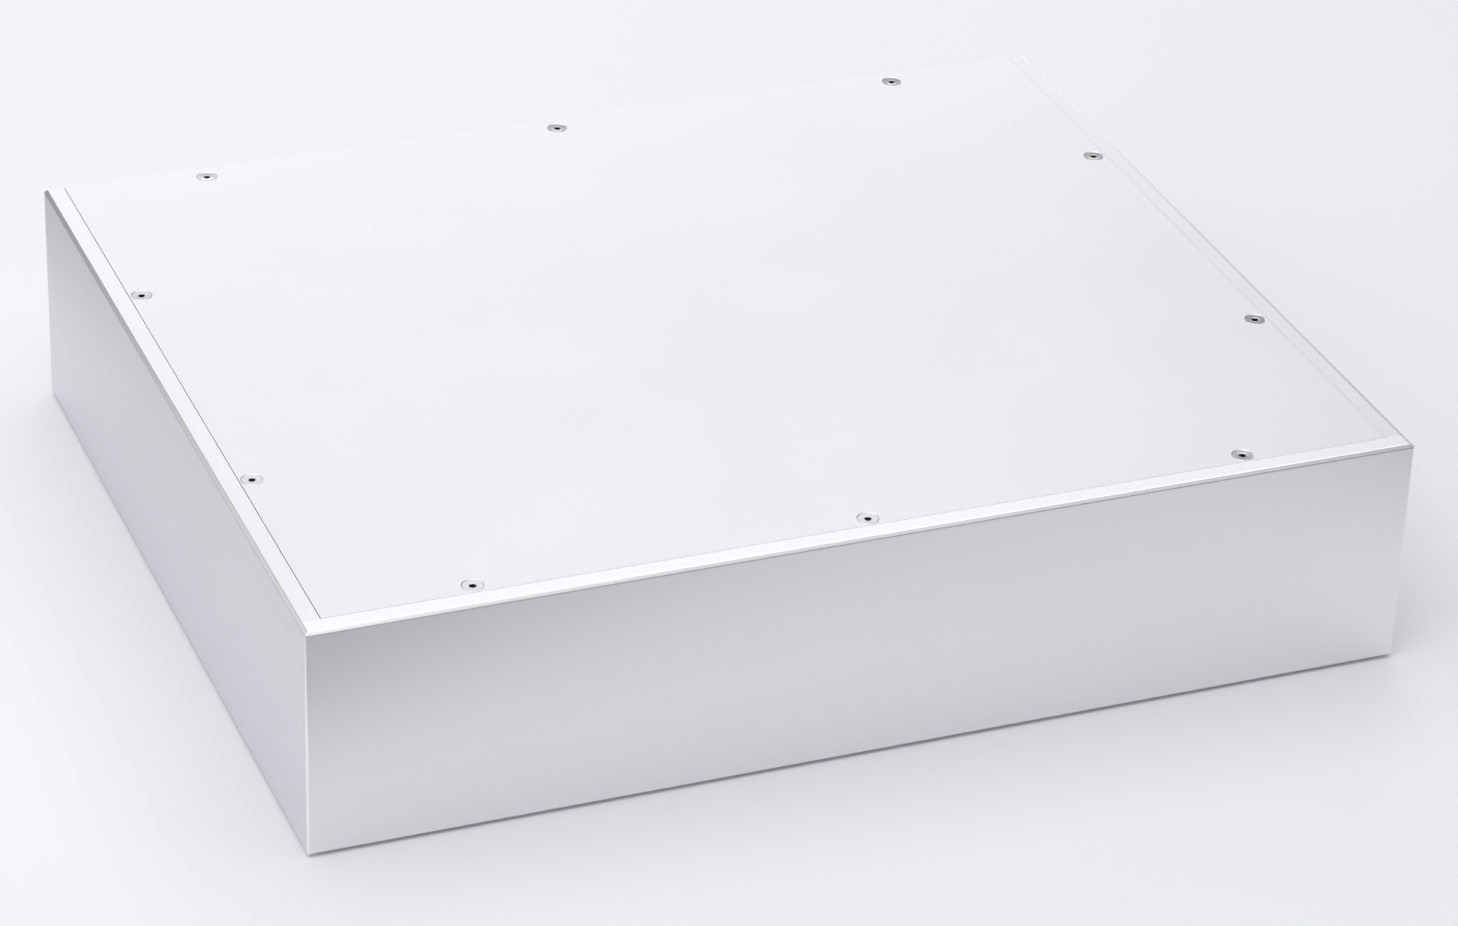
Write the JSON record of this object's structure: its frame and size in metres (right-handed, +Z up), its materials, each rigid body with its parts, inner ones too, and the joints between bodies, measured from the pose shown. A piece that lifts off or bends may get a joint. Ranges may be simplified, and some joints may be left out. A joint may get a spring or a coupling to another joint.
{
  "type": "amplifier chassis",
  "caption": "Low rectangular aluminium amplifier case with a thick front panel, side and rear panels, and flush covers held by countersunk hex-socket screws.",
  "frame": {"origin": "middle of the underside", "axes": "+X along the width to the right, front panel towards -Y, +Z up"},
  "size_m": [0.43, 0.358, 0.092],
  "materials": {
    "anodised_panel": "fine bead-blasted and clear anodised, silver",
    "anodised_cover": "fine bead-blasted and clear anodised, silver",
    "milled_rail": "plain milled",
    "cover_screw_steel": "stainless, turned head",
    "frame_screw_steel": "zinc plated"
  },
  "bodies": {
    "root": {"front_panel": "anodised_panel", "rear_panel": "anodised_panel", "left_side_panel": "anodised_panel", "right_side_panel": "anodised_panel", "top_cover": "anodised_cover", "bottom_cover": "anodised_cover", "top_cover_screws": "cover_screw_steel", "bottom_cover_screws": "cover_screw_steel", "top_front_rail": "milled_rail", "top_rear_rail": "milled_rail", "top_left_rail": "milled_rail", "top_right_rail": "milled_rail", "bottom_front_rail": "milled_rail", "bottom_rear_rail": "milled_rail", "bottom_left_rail": "milled_rail", "bottom_right_rail": "milled_rail", "front_left_bracket": "milled_rail", "front_right_bracket": "milled_rail", "rear_left_bracket": "milled_rail", "rear_right_bracket": "milled_rail", "front_rail_screws": "frame_screw_steel", "rear_rail_screws": "frame_screw_steel", "side_rail_screws": "frame_screw_steel", "front_bracket_screws": "frame_screw_steel", "rear_bracket_screws": "frame_screw_steel", "side_bracket_screws": "frame_screw_steel"}
  },
  "joints": []
}
